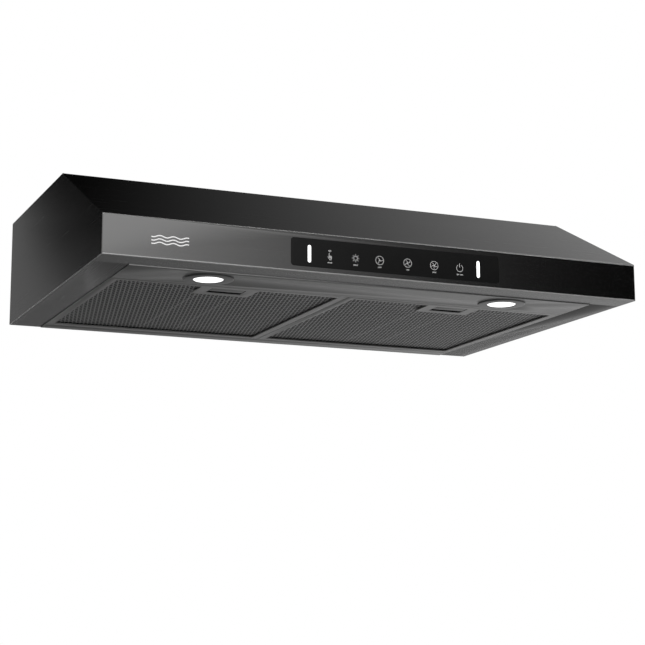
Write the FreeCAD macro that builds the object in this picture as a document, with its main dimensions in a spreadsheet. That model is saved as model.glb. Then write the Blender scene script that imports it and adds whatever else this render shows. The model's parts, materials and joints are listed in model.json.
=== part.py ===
"""Under cabinet range hood, built as a FreeCAD document.

The frame: X to the right as seen from the front, Y towards the wall, Z up. The origin is the centre of the
four keyholes in the top face, so z = 0 is the face that meets the cabinet. Lengths are in millimetres.
"""
import FreeCAD, Part
import math
import os
import re

import Sketcher

SIZES = {
    # canopy
    "hood_width": 756, "hood_depth": 500, "hood_height": 153, "lip_height": 51, "slope_run": 201,
    "sheet": 1, "top_hem": 8, "front_flange": 41, "side_flange": 46, "tray_drop": 1, "seam_gap": 0.5,
    "fit_gap": 0.3,
    # front tray with the lamps
    "tray_clear": 6, "tray_rim": 16, "tray_hook": 14, "lamp_gap": 5.55, "lamp_offset": 2,
    # filters
    "rear_border": 29.5, "filter_height": 12, "filter_border": 11, "filter_hem": 2, "filter_gap": 0.8,
    "filter_wall": 1, "mesh_thickness": 0.8, "tab_width": 30, "tab_spacing": 180, "tab_reach": 11,
    "tab_thickness": 1.5, "tab_lift": 0.2, "hinge_gap": 1.2,
    # latch
    "notch_width": 80, "notch_depth": 43, "latch_width": 48, "latch_length": 27, "latch_inset": 15,
    "latch_depth": 9, "tongue_width": 20, "tongue_reach": 6.5, "tongue_clear": 0.5, "plate_thickness": 2,
    "handle_clear": 3, "spring_x": 17, "spring_start": 2.5, "spring_end": 15, "spring_radius": 1.6,
    "wire_radius": 0.3, "spring_turns": 5,
    # lamps
    "lamp_hole_radius": 30, "bezel_lap": 3, "bezel_stand": 1.5, "bezel_ring": 9.5,
    "lamp_can_lap": 2.5, "lamp_can_height": 25, "led_board_lap": 3.5,
    # control panel
    "panel_offset": 15.5, "panel_width": 297, "panel_border": 7.5, "panel_corner": 4,
    "glass_thickness": 3, "glass_proud": 0.2, "carrier_depth": 10, "carrier_margin": 4.2,
    "bar_width": 4.6, "bar_low_border": 4.5, "bar_high_border": 7.5, "bar_left_inset": 25,
    "bar_right_inset": 30.5, "sensor_inset": 53, "sensor_size": 8,
    # blowers
    "blower_margin": 9, "blower_drop": 6, "blower_height": 84, "wheel_radius": 85, "wheel_gap": 9,
    "scroll_step": 14, "mouth_lap": 2.5, "tongue_radius": 10, "throat_gap": 4, "guard_lap": 10,
    "blade_count": 32, "blade_depth": 15, "blade_thickness": 0.8, "motor_radius": 40, "motor_clear": 42,
    "rotor_radius": 20.5, "air_gap": 0.5,
    "shaft_radius": 4, "bearing_radius": 9, "bearing_width": 7, "shaft_clearance": 0.05,
    "mount_reach": 22, "mount_radius": 8, "screw_clearance": 0.1,
    # duct outlet
    "duct_width": 254, "duct_depth": 82.5, "collar_height": 40, "collar_wall": 1, "collar_flange": 11,
    "gasket": 1, "flap_pin_radius": 1.5, "flap_axis_offset": 3, "flap_axis_height": 12, "flap_thickness": 1,
    # fixings and electrics
    "keyhole_margin": 28, "keyhole_setback": 29.5, "keyhole_radius": 5.5, "neck_width": 5.5,
    "neck_length": 12, "box_height": 42, "control_box_x": -68, "junction_box_x": 72, "box_y": -48,
    "control_box_width": 124, "box_depth": 116, "junction_box_width": 96, "bush_radius": 10.8,
    "bush_bore": 4.5, "bush_rise": 8, "screw_radius": 2, "screw_head": 3.6,
}

# Places worked out from the sizes above. Each is a formula in sizes and in other places.
PLACES = {
    "side": "hood_width / 2",
    "back": "(hood_depth - slope_run) / 2",
    "front": "back - hood_depth",
    "brow": "back - hood_depth + slope_run",
    "underside": "-hood_height",
    "lip_top": "lip_height - hood_height",
    "slope_angle": "atan2(hood_height - lip_height; slope_run)",
    "tray_face": "underside - tray_drop",
    "tray_front": "front + front_flange + fit_gap",
    "tray_depth": "2 * (lamp_can_radius + sheet + tray_clear)",
    "tray_back": "front + front_flange + tray_depth",
    "tray_side": "side - side_flange - seam_gap",
    "filter_front": "tray_back + seam_gap",
    "filter_back": "back - rear_border",
    "filter_inner": "filter_gap / 2",
    "filter_centre": "(filter_inner + tray_side) / 2",
    "filter_top": "tray_face + filter_height",
    "mesh_face": "tray_face + filter_hem + 0.1",
    "latch_front": "filter_front + latch_inset",
    "latch_back": "latch_front + latch_length",
    "latch_travel": "tongue_reach + tongue_clear",
    "handle_length": "latch_length - latch_travel - handle_clear",
    "handle_z": "tray_face + 2.5",
    "stem_z": "handle_z + plate_thickness",
    "spring_length": "spring_end - spring_start - 2 * wire_radius - 0.2",
    "lamp_y": "front + front_flange + tray_depth / 2 + lamp_offset",
    "lamp_x": "filter_centre + tongue_width / 2 + lamp_can_radius + lamp_gap",
    "bezel_radius": "lamp_hole_radius + bezel_lap",
    "lens_radius": "lamp_hole_radius - bezel_ring",
    "lamp_can_radius": "lamp_hole_radius + lamp_can_lap",
    "led_board_radius": "lens_radius + led_board_lap",
    "glass_bottom": "underside + panel_border",
    "glass_top": "lip_top - panel_border",
    "glass_back": "front - glass_proud + glass_thickness",
    "bar_left": "panel_offset - panel_width / 2 + bar_left_inset",
    "bar_right": "panel_offset + panel_width / 2 - bar_right_inset",
    "sensor_x": "panel_offset - panel_width / 2 + sensor_inset",
    "scroll_reach": "wheel_radius + wheel_gap + 2 * scroll_step + sheet",
    "blower_x": "side - sheet - blower_margin - scroll_reach",
    "blower_top": "-blower_drop",
    "blower_bottom": "-blower_drop - blower_height",
    "outlet_back": "2 * scroll_step + wheel_radius + wheel_gap + scroll_step",
    "outlet_width": "duct_depth - mouth_lap",
    "outlet_front": "outlet_back - outlet_width",
    "inlet_radius": "wheel_radius - blade_depth - 1 - sheet - throat_gap",
    "guard_radius": "inlet_radius + guard_lap",
    "duct_y": "(outlet_back + outlet_front) / 2",
    "duct_end": "duct_width / 2 + 1",
    "flange_under": "-sheet - gasket - collar_wall",
    "collar_x": "duct_width / 2 - 1",
    "collar_y": "duct_depth / 2 - 1",
    "wheel_top": "blower_top - 7",
    "wheel_bottom": "blower_bottom + 4",
    "motor_top": "blower_top - sheet",
    "motor_height": "blower_height - motor_clear",
    "motor_bottom": "motor_top - motor_height",
    "hub_top": "motor_bottom - 8",
    "box_top": "-sheet",
    "box_bottom": "-sheet - box_height",
    "keyhole_x": "hood_width - 2 * keyhole_margin",
    "keyhole_y": "hood_depth - slope_run - 2 * keyhole_setback",
}

PLANES = {"XY": "XY_Plane", "XZ": "XZ_Plane", "YZ": "YZ_Plane"}

doc = FreeCAD.newDocument("RangeHood")
sheet = doc.addObject("Spreadsheet::Sheet", "Sizes")
for row, (name, size) in enumerate(SIZES.items(), start=1):
    sheet.set(f"A{row}", str(size))
    sheet.setAlias(f"A{row}", name)
doc.recompute()

nodes = []


def tie(formula):
    """A formula in named sizes and places, written out as an expression on the sheet."""

    def swap(match):
        word = match.group(0)
        if word in PLACES:
            return f"({tie(PLACES[word])})"
        return f"Sizes.{word}" if word in SIZES else word

    return re.sub(r"[a-z_]+[a-z0-9_]*", swap, str(formula))


def value(formula):
    """The number that a formula gives now."""
    return float(sheet.evalExpression(tie(formula)))


# ---------------------------------------------------------------- sketches and features


def body(label):
    """An empty PartDesign body that becomes a sub-part."""
    made = doc.addObject("PartDesign::Body", label)
    made.Label = label
    nodes.append(made)
    return made


def sketch(part, plane, at):
    """An empty sketch on one of the body's own origin planes, moved to the coordinate at."""
    made = part.newObject("Sketcher::SketchObject", "Sketch")
    found = next(f for f in part.Origin.OriginFeatures if f.Role == PLANES[plane])
    made.AttachmentSupport = (found, "")
    made.MapMode = "FlatFace"
    normal = -1 if plane == "XZ" else 1
    made.setExpression(".AttachmentOffset.Base.z", tie(f"{normal} * ({at})"))
    return made


def hold(made, kind, places, formula):
    """One driving dimension in a sketch, tied to the sheet."""
    index = made.addConstraint(Sketcher.Constraint(kind, *places, value(formula)))
    made.setExpression(f"Constraints[{index}]", tie(formula))


def draw_outline(made, points):
    """A closed outline of straight lines whose corners are tied to the sheet."""
    first = made.GeometryCount
    corners = [FreeCAD.Vector(value(x), value(y), 0) for x, y in points]
    count = len(points)
    for i, corner in enumerate(corners):
        made.addGeometry(Part.LineSegment(corner, corners[(i + 1) % count]))
    for i in range(count):
        following = first + (i + 1) % count
        made.addConstraint(Sketcher.Constraint("Coincident", first + i, 2, following, 1))
    for i, (x, y) in enumerate(points):
        hold(made, "DistanceX", (-1, 1, first + i, 1), x)
        hold(made, "DistanceY", (-1, 1, first + i, 1), y)


def draw_circle(made, x, y, radius):
    """A circle whose centre and radius are tied to the sheet."""
    centre = FreeCAD.Vector(value(x), value(y), 0)
    index = made.addGeometry(Part.Circle(centre, FreeCAD.Vector(0, 0, 1), value(radius)))
    hold(made, "DistanceX", (-1, 1, index, 3), x)
    hold(made, "DistanceY", (-1, 1, index, 3), y)
    hold(made, "Radius", (index,), radius)


def draw(made, outlines, circles):
    for points in outlines:
        draw_outline(made, points)
    for x, y, radius in circles:
        draw_circle(made, x, y, radius)


def rectangle(x0, x1, y0, y1):
    return [(x0, y0), (x1, y0), (x1, y1), (x0, y1)]


def across(x, half, y0, y1):
    """A rectangle that reaches the same distance to both sides of x."""
    return rectangle(f"{x} - ({half})", f"{x} + ({half})", y0, y1)


def pad(part, plane, low, high, outlines=(), circles=()):
    """Adds a prism between two coordinates along the plane's axis. An outline inside another is a hole."""
    made = sketch(part, plane, high if plane == "XZ" else low)
    draw(made, outlines, circles)
    feature = part.newObject("PartDesign::Pad", "Pad")
    feature.Profile = made
    feature.setExpression("Length", tie(f"({high}) - ({low})"))
    return feature


def cut(part, plane, low, high, outlines=(), circles=()):
    """Takes a prism between two coordinates away from the body, and checks that it took something."""
    doc.recompute()
    before = part.Shape.Volume
    made = sketch(part, plane, low if plane == "XZ" else high)
    draw(made, outlines, circles)
    feature = part.newObject("PartDesign::Pocket", "Pocket")
    feature.Profile = made
    feature.setExpression("Length", tie(f"({high}) - ({low})"))
    doc.recompute()
    if part.Shape.Volume > before - 0.01:
        raise RuntimeError(f"a cut in {part.Label} takes nothing away")
    return feature


def place(part, x="0", y="0", z="0"):
    """Puts a body or primitive at a point tied to the sheet."""
    for axis, formula in zip("xyz", (x, y, z)):
        part.setExpression(f".Placement.Base.{axis}", tie(formula))


def spin(part, points):
    """Adds a ring or disc: an outline of radius and height turned about the body's own Z axis."""
    made = sketch(part, "XZ", "0")
    draw_outline(made, points)
    feature = part.newObject("PartDesign::Revolution", "Revolution")
    feature.Profile = made
    feature.ReferenceAxis = (made, ["V_Axis"])
    feature.Angle = 360
    return feature


def box(label, x0, x1, y0, y1, z0, z1):
    """A Part box between two corners."""
    made = doc.addObject("Part::Box", label)
    made.setExpression("Length", tie(f"({x1}) - ({x0})"))
    made.setExpression("Width", tie(f"({y1}) - ({y0})"))
    made.setExpression("Height", tie(f"({z1}) - ({z0})"))
    place(made, x0, y0, z0)
    return made


def cylinder(label, x, y, z0, z1, radius):
    """An upright Part cylinder."""
    made = doc.addObject("Part::Cylinder", label)
    made.setExpression("Radius", tie(radius))
    made.setExpression("Height", tie(f"({z1}) - ({z0})"))
    place(made, x, y, z0)
    return made


def less(base, tool):
    """The base with the tool cut out of it."""
    made = doc.addObject("Part::Cut", "Less")
    made.Base, made.Tool = base, tool
    return made


def joined(label, *pieces):
    made = doc.addObject("Part::MultiFuse", label)
    made.Shapes = list(pieces)
    return made


def group(label, pieces):
    """Several separate solids that share one node."""
    made = doc.addObject("Part::Compound", label)
    made.Links = pieces
    made.Label = label
    nodes.append(made)
    return made


def keep(made):
    nodes.append(made)
    return made


def screw(x, y, under, length):
    """A pan head screw driven upwards: its head hangs below the height under, its shank goes up from it."""
    head = cylinder("ScrewHead", x, y, f"({under}) - 2", under, "screw_head")
    shank = cylinder("ScrewShank", x, y, under, f"({under}) + {length}", "screw_radius")
    return joined("Screw", head, shank)


SIDES = (("left", -1), ("right", 1))
MOUNT_ANGLES = (45, 135, 225, 315)
CORNERS = [(sx, sy) for sx in (-1, 1) for sy in (-1, 1)]


# ---------------------------------------------------------------- canopy


def make_canopy_front():
    """Sloping front, lip and front flange, bent from one sheet whose top hem is welded to the top panel."""
    brow_bend = "sheet * tan(slope_angle / 2)"
    lip_bend = "sheet * tan((90 deg - slope_angle) / 2)"
    part = body("canopy_front")
    outer = [
        ("brow + top_hem", "0"), ("brow", "0"), ("front", "lip_top"), ("front", "underside"),
        ("front + front_flange", "underside"),
    ]
    inner = [
        ("front + front_flange", "underside + sheet"), ("front + sheet", "underside + sheet"),
        ("front + sheet", f"lip_top - {lip_bend}"), (f"brow + {brow_bend}", "-sheet"),
        ("brow + top_hem", "-sheet"),
    ]
    pad(part, "YZ", "-side + sheet", "side - sheet", [outer + inner])
    cut(part, "XZ", "front", "front + sheet", [panel_rectangle("fit_gap")])
    round_corners(part, "panel_corner + fit_gap", is_window_corner)


def make_top_panel():
    """Flat top with the duct opening, the cable hole and the four keyholes."""
    part = body("top_panel")
    pad(part, "XY", "-sheet", "0", [rectangle("-side + sheet", "side - sheet", "brow + top_hem", "back")])
    duct = across("0", "duct_width / 2", "duct_y - duct_depth / 2", "duct_y + duct_depth / 2")
    cut(part, "XY", "-sheet", "0", [duct])
    lobes = [(f"{sx} * keyhole_x / 2", f"{sy} * keyhole_y / 2", "keyhole_radius") for sx, sy in CORNERS]
    cut(part, "XY", "-sheet", "0", circles=lobes)
    necks = [across(x, "neck_width / 2", f"{y} - neck_length", y) for x, y, _ in lobes]
    cut(part, "XY", "-sheet", "0", necks)
    ends = [(x, f"{y} - neck_length", "neck_width / 2") for x, y, _ in lobes]
    cut(part, "XY", "-sheet", "0", circles=ends)
    cut(part, "XY", "-sheet", "0", circles=[("junction_box_x", "box_y", "bush_radius + 0.2")])


def is_window_corner(edge):
    """True for the four short edges through the lip at the corners of the glass window."""
    middle = edge.CenterOfMass
    through = abs(edge.BoundBox.DiagonalLength - value("sheet")) < 1e-6
    return through and value("glass_bottom - 1") < middle.z < value("glass_top + 2 * fit_gap")


def round_corners(part, radius, wanted):
    """Rounds the edges of the body that wanted picks."""
    doc.recompute()
    feature = part.newObject("PartDesign::Fillet", "Fillet")
    base = part.Tip if part.Tip is not feature else feature.BaseFeature
    names = [f"Edge{i}" for i, edge in enumerate(base.Shape.Edges, start=1) if wanted(edge)]
    feature.Base = (base, names)
    feature.setExpression("Radius", tie(radius))
    doc.recompute()


def make_side_panels():
    """End panels with the flange that frames the underside."""
    for name, sign in SIDES:
        part = body(f"{name}_side_panel")
        low, high = ("side - sheet", "side") if sign > 0 else ("-side", "-side + sheet")
        outline = [
            ("front", "underside"), ("back", "underside"), ("back", "0"), ("brow", "0"),
            ("front", "lip_top"),
        ]
        pad(part, "YZ", low, high, [outline])
        near, far = ("side - side_flange", "side - sheet / 2")
        if sign < 0:
            near, far = (f"-({far})", f"-({near})")
        flange = rectangle(near, far, "front + front_flange + fit_gap", "back - sheet")
        pad(part, "XY", "underside", "underside + sheet", [flange])


def make_back_panel():
    """Rear wall with the opening for a rear duct."""
    part = body("back_panel")
    outline = rectangle("-side + sheet", "side - sheet", "underside", "-sheet")
    pad(part, "XZ", "back - sheet", "back", [outline])
    vent = across("0", "duct_width / 2", "blower_bottom + 4", "blower_top - 4")
    cut(part, "XZ", "back - sheet", "back", [vent])
    holes = [(x, z, "screw_radius + screw_clearance") for x, z in VENT_SCREWS]
    cut(part, "XZ", "back - sheet", "back", circles=holes)


VENT_SCREWS = [
    (f"{side} * (duct_width / 2 + 8)", z)
    for side in (-1, 1) for z in ("blower_bottom + 12", "blower_top - 12")
]


def make_rear_vent_cover():
    """Plate that closes the rear opening when the hood vents upwards."""
    part = body("rear_vent_cover")
    low, high = ("back - 2 * sheet", "back - sheet")
    plate = across("0", "duct_width / 2 + 15", "blower_bottom - 4", "blower_top + 1")
    pad(part, "XZ", low, high, [plate])
    holes = [(x, z, "screw_radius + screw_clearance") for x, z in VENT_SCREWS]
    cut(part, "XZ", low, high, circles=holes)


def make_light_panel():
    """Front tray: hooks over the front flange, carries both lamps and catches both filter latches."""
    part = body("light_panel")
    hook = "underside + sheet"
    profile = [
        ("tray_front", "tray_face"), ("tray_back", "tray_face"), ("tray_back", "tray_face + tray_rim"),
        ("tray_back - sheet", "tray_face + tray_rim"), ("tray_back - sheet", "tray_face + sheet"),
        ("tray_front + sheet", "tray_face + sheet"), ("tray_front + sheet", f"{hook} + sheet"),
        ("tray_front - tray_hook", f"{hook} + sheet"), ("tray_front - tray_hook", hook),
        ("tray_front", hook),
    ]
    pad(part, "YZ", "-tray_side", "tray_side", [profile])
    holes = [(f"{sign} * lamp_x", "lamp_y", "lamp_hole_radius") for _, sign in SIDES]
    cut(part, "XY", "tray_face", "tray_face + sheet", circles=holes)
    windows = [
        across(f"{sign} * filter_centre", "tongue_width / 2 + 2", "stem_z - 1",
               "stem_z + plate_thickness + 1")
        for _, sign in SIDES
    ]
    cut(part, "XZ", "tray_back - sheet", "tray_back", windows)


def make_rear_rail():
    """Rail that the rear tabs of the filters rest on."""
    part = body("rear_rail")
    rail_front = "filter_back + hinge_gap"
    profile = [
        (rail_front, "tray_face"), ("back - sheet", "tray_face"), ("back - sheet", "tray_face + 30"),
        ("back - 2 * sheet", "tray_face + 30"), ("back - 2 * sheet", "tray_face + sheet"),
        (rail_front, "tray_face + sheet"),
    ]
    pad(part, "YZ", "-tray_side", "tray_side", [profile])


# ---------------------------------------------------------------- filters and latches


def make_filter(name, sign):
    """Grease filter: a folded frame with a latch pocket, a face mesh and a pack of finer mesh."""
    inner, outer = ("filter_inner", "tray_side") if sign > 0 else ("-(tray_side)", "-(filter_inner)")
    centre = f"{sign} * filter_centre"
    wall = "filter_wall"

    def ring(inset):
        x0, x1 = (f"{inner} + ({inset})", f"{outer} - ({inset})")
        return rectangle(x0, x1, f"filter_front + ({inset})", f"filter_back - ({inset})")

    def notched(inset, half, depth):
        """The ring's outline with the notch for the latch left out of its front edge."""
        x0, x1 = (f"{inner} + ({inset})", f"{outer} - ({inset})")
        y0, y1 = (f"filter_front + ({inset})", f"filter_back - ({inset})")
        notch0, notch1 = (f"{centre} - ({half})", f"{centre} + ({half})")
        return [
            (x0, y0), (notch0, y0), (notch0, depth), (notch1, depth), (notch1, y0), (x1, y0), (x1, y1),
            (x0, y1),
        ]

    frame = body(f"filter_frame_{name}")
    opening = notched("filter_border", "notch_width / 2", "filter_front + filter_border + notch_depth")
    pad(frame, "XY", "tray_face", "tray_face + filter_hem", [ring("0"), opening])
    pad(frame, "XY", "tray_face", "filter_top", [ring("0"), ring(wall)])
    pad(frame, "XY", "filter_top - filter_wall", "filter_top", [ring("0"), ring("filter_border - 3")])
    cup_top = "tray_face + latch_depth"
    cup = across(centre, "latch_width / 2 + 1", "latch_front - 1", "latch_back + 1")
    pad(frame, "XY", "tray_face", f"{cup_top} + 1", [cup])
    hollow = across(centre, "latch_width / 2", "latch_front", "latch_back")
    cut(frame, "XY", "tray_face", cup_top, [hollow])
    slot = across(centre, "tongue_width / 2 + 0.5", "stem_z - 0.3", "stem_z + plate_thickness + 0.3")
    cut(frame, "XZ", "filter_front", "latch_front", [slot])
    post_front = "latch_front + spring_end"
    posts = [across(f"{centre} + {k} * spring_x", "2.5", post_front, f"{post_front} + 1.5") for k in (-1, 1)]
    pad(frame, "XY", "stem_z + 0.3", cup_top, posts)
    tabs = [
        across(f"{centre} + {k} * tab_spacing / 2", "tab_width / 2", "filter_back - filter_wall",
               "filter_back + tab_reach") for k in (-1, 1)
    ]
    tab_low = "tray_face + sheet + tab_lift"
    pad(frame, "XY", tab_low, f"{tab_low} + tab_thickness", tabs)

    cleared = notched("filter_wall + 0.2", "latch_width / 2 + 4", "latch_back + 4")
    mesh = body(f"filter_mesh_{name}")
    pad(mesh, "XY", "mesh_face", "mesh_face + mesh_thickness", [cleared])
    pack = body(f"filter_pack_{name}")
    pad(pack, "XY", "mesh_face + mesh_thickness + 0.1", "filter_top - filter_wall - 0.1", [cleared])


def make_latch(name, sign):
    """Spring latch: a finger plate in the pocket, with a tongue that reaches out of the filter's front."""
    centre = f"{sign} * filter_centre"
    part = body(f"latch_{name}")
    plate = across(centre, "latch_width / 2 - 1", "latch_front + 0.5", "latch_front + handle_length")
    pad(part, "XY", "handle_z", "handle_z + plate_thickness", [plate])
    lip = across(centre, "latch_width / 2 - 1", "latch_front + handle_length - 1.8",
                 "latch_front + handle_length")
    pad(part, "XY", "handle_z - 1.8", "handle_z + 0.5", [lip])
    tongue = across(centre, "tongue_width / 2", "filter_front - tongue_reach", "latch_front + 8")
    pad(part, "XY", "stem_z", "stem_z + plate_thickness", [tongue])
    stud_back = "latch_front + spring_start"
    studs = [across(f"{centre} + {k} * spring_x", "2.5", f"{stud_back} - 1.5", stud_back) for k in (-1, 1)]
    pad(part, "XY", "stem_z", "stem_z + 3.5", studs)

    springs = []
    for k in (-1, 1):
        coil = doc.addObject("Part::Helix", "Coil")
        coil.setExpression("Radius", tie("spring_radius"))
        coil.setExpression("Pitch", tie("spring_length / spring_turns"))
        coil.setExpression("Height", tie("spring_length"))
        wire = doc.addObject("Part::Circle", "Wire")
        wire.setExpression("Radius", tie("wire_radius"))
        wire.setExpression(".Placement.Base.x", tie("spring_radius"))
        wire.Placement.Rotation = FreeCAD.Rotation(FreeCAD.Vector(1, 0, 0), 90)
        doc.recompute()
        swept = doc.addObject("Part::Sweep", "Spring")
        swept.Sections = [wire]
        swept.Spine = (coil, [f"Edge{i + 1}" for i in range(len(coil.Shape.Edges))])
        swept.Solid = True
        swept.Frenet = True
        swept.Placement.Rotation = FreeCAD.Rotation(FreeCAD.Vector(1, 0, 0), -90)
        place(swept, f"{centre} + {k} * spring_x", f"{stud_back} + wire_radius + 0.1", "stem_z + 2")
        springs.append(swept)
    group(f"latch_springs_{name}", springs)


# ---------------------------------------------------------------- lamps


def make_lamp(name, sign):
    """Recessed lamp: bezel ring, lens and a can with the cable hole."""
    x = f"{sign} * lamp_x"
    bezel = body(f"lamp_bezel_{name}")
    place(bezel, x, "lamp_y", "tray_face")
    spin(bezel, [
        ("lens_radius + 0.2", "-bezel_stand"), ("bezel_radius - 1.2", "-bezel_stand"),
        ("bezel_radius", "-0.4"), ("bezel_radius", "0"), ("lamp_hole_radius - 0.5", "0"),
        ("lamp_hole_radius - 0.5", "12"),
        ("lamp_hole_radius - 2", "12"), ("lamp_hole_radius - 2", "1.4"), ("lens_radius + 0.2", "1.4"),
    ])
    lens = body(f"lamp_lens_{name}")
    place(lens, x, "lamp_y", "tray_face")
    spin(lens, [
        ("0", "-bezel_stand + 0.2"), ("lens_radius", "-bezel_stand + 0.5"), ("lens_radius", "1.4"),
        ("lens_radius + 3", "1.5"), ("lens_radius + 3", "2.7"), ("0", "2.7"),
    ])
    can = body(f"lamp_can_{name}")
    place(can, x, "lamp_y", "tray_face + sheet")
    spin(can, [
        ("lamp_can_radius - 1.5", "0"), ("lamp_can_radius", "0"), ("lamp_can_radius", "lamp_can_height"),
        ("3", "lamp_can_height"), ("3", "6"), ("12", "6"), ("12", "lamp_can_height - 2"),
        ("lamp_can_radius - 1.5", "lamp_can_height - 2"),
    ])


def make_led_boards():
    """Round boards with the light emitting diodes, one under each lamp can's pillar."""
    low, high = ("tray_face + sheet + 4.6", "tray_face + sheet + 6")
    places = [f"{sign} * lamp_x" for _, sign in SIDES]
    group("led_boards", [cylinder("LedBoard", x, "lamp_y", low, high, "led_board_radius") for x in places])


# ---------------------------------------------------------------- control panel


def panel_rectangle(margin):
    """The glass outline, grown by a margin."""
    return across("panel_offset", f"panel_width / 2 + ({margin})", f"glass_bottom - ({margin})",
                  f"glass_top + ({margin})")


def make_control_panel():
    """Touch glass, its carrier, the touch board, and the two light bars with the hand sensor's window."""
    glass = body("control_glass")
    pad(glass, "XZ", "front - glass_proud", "glass_back", [panel_rectangle("0")])
    shortest = value("glass_thickness") + 0.01
    round_corners(glass, "panel_corner", lambda edge: edge.BoundBox.DiagonalLength < shortest)

    web = "glass_back + 0.2"
    carrier = body("panel_carrier")
    pad(carrier, "XZ", "front + sheet", "front + sheet + carrier_depth", [panel_rectangle("carrier_margin")])
    cut(carrier, "XZ", "front + sheet", web, [panel_rectangle("fit_gap")])
    cut(carrier, "XZ", f"{web} + 1.5", "front + sheet + carrier_depth", [panel_rectangle("-2")])
    bar_low, bar_high = ("glass_bottom + bar_low_border", "glass_top - bar_high_border")
    bars = [
        across(x, "bar_width / 2 + 0.2", f"{bar_low} - 0.2", f"{bar_high} + 0.2")
        for x in ("bar_left", "bar_right")
    ]
    sensor_z = f"({bar_low} + {bar_high}) / 2"
    eye = across("sensor_x", "sensor_size / 2 + 0.2", f"{sensor_z} - sensor_size / 2 - 0.2",
                 f"{sensor_z} + sensor_size / 2 + 0.2")
    cut(carrier, "XZ", web, f"{web} + 1.5", [*bars, eye])

    skin, tail = ("glass_back + 0.05", f"{web} + 1.9")
    guides = [
        box("LightBar", f"{x} - bar_width / 2", f"{x} + bar_width / 2", skin, tail, bar_low, bar_high)
        for x in ("bar_left", "bar_right")
    ]
    guides.append(box("HandWindow", "sensor_x - sensor_size / 2", "sensor_x + sensor_size / 2", skin, tail,
                      f"{sensor_z} - sensor_size / 2", f"{sensor_z} + sensor_size / 2"))
    group("light_guides", guides)
    board = body("touch_board")
    pad(board, "XZ", f"{web} + 2", f"{web} + 3.6", [panel_rectangle("-3")])


# ---------------------------------------------------------------- blowers


def scroll_outline(sign, grow, reach):
    """The scroll's outline as a face, its wall moved out by grow and its mouth ended at reach.

    Three quarter arcs open out round the wheel, each step larger than the last, and end in a straight duct.
    """
    step = value("scroll_step")
    first = value("wheel_radius + wheel_gap") + step / 2 + grow
    arcs = [(step / 2, -step / 2, first, 180), (step / 2, step / 2, first + step, 270),
            (-step / 2, step / 2, first + 2 * step, 0)]
    edges = []
    for x, y, radius, start in arcs:
        angles = [math.radians(start + turn) for turn in (0, 45, 90)]
        through = [spot(sign, x + radius * math.cos(a), y + radius * math.sin(a)) for a in angles]
        edges.append(Part.Arc(*through))
    top = step / 2 + first + 2 * step
    lower = top - value("outlet_width") - 2 * grow
    left = step / 2 - first
    round_over = value("tongue_radius") - grow
    bend_x, bend_y = left - round_over, lower - round_over
    middle = math.radians(45)
    mouth = -reach
    edges.append(Part.LineSegment(spot(sign, -step / 2, top), spot(sign, mouth, top)))
    edges.append(Part.LineSegment(spot(sign, mouth, top), spot(sign, mouth, lower)))
    edges.append(Part.LineSegment(spot(sign, mouth, lower), spot(sign, bend_x, lower)))
    edges.append(Part.Arc(
        spot(sign, bend_x, lower),
        spot(sign, bend_x + round_over * math.cos(middle), bend_y + round_over * math.sin(middle)),
        spot(sign, left, bend_y),
    ))
    edges.append(Part.LineSegment(spot(sign, left, bend_y), spot(sign, left, -step / 2)))
    return Part.Face(Part.Wire(Part.__sortEdges__([edge.toShape() for edge in edges])))


def spot(sign, x, y):
    """A point of the right hand scroll, mirrored for the left hand one."""
    return FreeCAD.Vector(sign * x, y, 0)


def raised(face, low, high):
    """A face in the XY plane extruded between two heights."""
    made = face.extrude(FreeCAD.Vector(0, 0, high - low))
    made.translate(FreeCAD.Vector(0, 0, low))
    return made


def feature(label, shape, x=0):
    """A sub-part whose shape is worked out here, placed after it is set."""
    made = doc.addObject("Part::Feature", label)
    made.Shape = shape
    made.Placement.Base = FreeCAD.Vector(x, 0, 0)
    made.Label = label
    return keep(made)


def mount_points(sign):
    """The four places where a blower hangs from the top sheet, in its own coordinates."""
    reach = value("motor_radius + mount_reach")
    angles = [math.radians(a) for a in MOUNT_ANGLES]
    return [(sign * reach * math.cos(a), reach * math.sin(a)) for a in angles]


def make_volute(name, sign):
    """Scroll housing with its top plate, and the inlet plate with its turned-in mouth."""
    thick = value("sheet")
    top, bottom = value("blower_top"), value("blower_bottom")
    reach = value("blower_x - duct_end - 0.3")
    outer = scroll_outline(sign, thick, reach)
    inner = scroll_outline(sign, 0, reach + 1)
    shell = raised(outer, bottom, top).cut(raised(inner, bottom - 1, top - thick))
    for x, y in mount_points(sign):
        start = FreeCAD.Vector(x, y, top - 2 * thick)
        shell = shell.cut(Part.makeCylinder(value("screw_radius + screw_clearance"), 4 * thick, start))
    feature(f"volute_{name}", shell, sign * value("blower_x"))
    radius = value("inlet_radius")
    plate = raised(outer, bottom - thick, bottom)
    throat = Part.makeCylinder(radius + thick, 6 + thick, FreeCAD.Vector(0, 0, bottom - thick))
    bore = Part.makeCylinder(radius, 8 + thick, FreeCAD.Vector(0, 0, bottom - thick - 1))
    feature(f"inlet_plate_{name}", plate.fuse(throat).cut(bore).removeSplitter(), sign * value("blower_x"))


def make_inlet_guard(name, sign):
    """Moulded finger guard under the inlet: concentric rings on a cross of ribs."""
    part = body(f"inlet_guard_{name}")
    place(part, f"{sign} * blower_x", "0", "blower_bottom - sheet")
    pad(part, "XY", "-3", "0", circles=[("0", "0", "guard_radius"), ("0", "0", "guard_radius - 6")])
    for ring in ("16", "32", "48"):
        pad(part, "XY", "-3", "-1", circles=[("0", "0", ring), ("0", "0", f"{ring} - 2.5")])
        if ring == "16":
            pad(part, "XY", "-3", "-1", [rectangle("-guard_radius + 3", "guard_radius - 3", "-1.5", "1.5")])
            pad(part, "XY", "-3", "-1", [rectangle("-1.5", "1.5", "-guard_radius + 3", "guard_radius - 3")])


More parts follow.
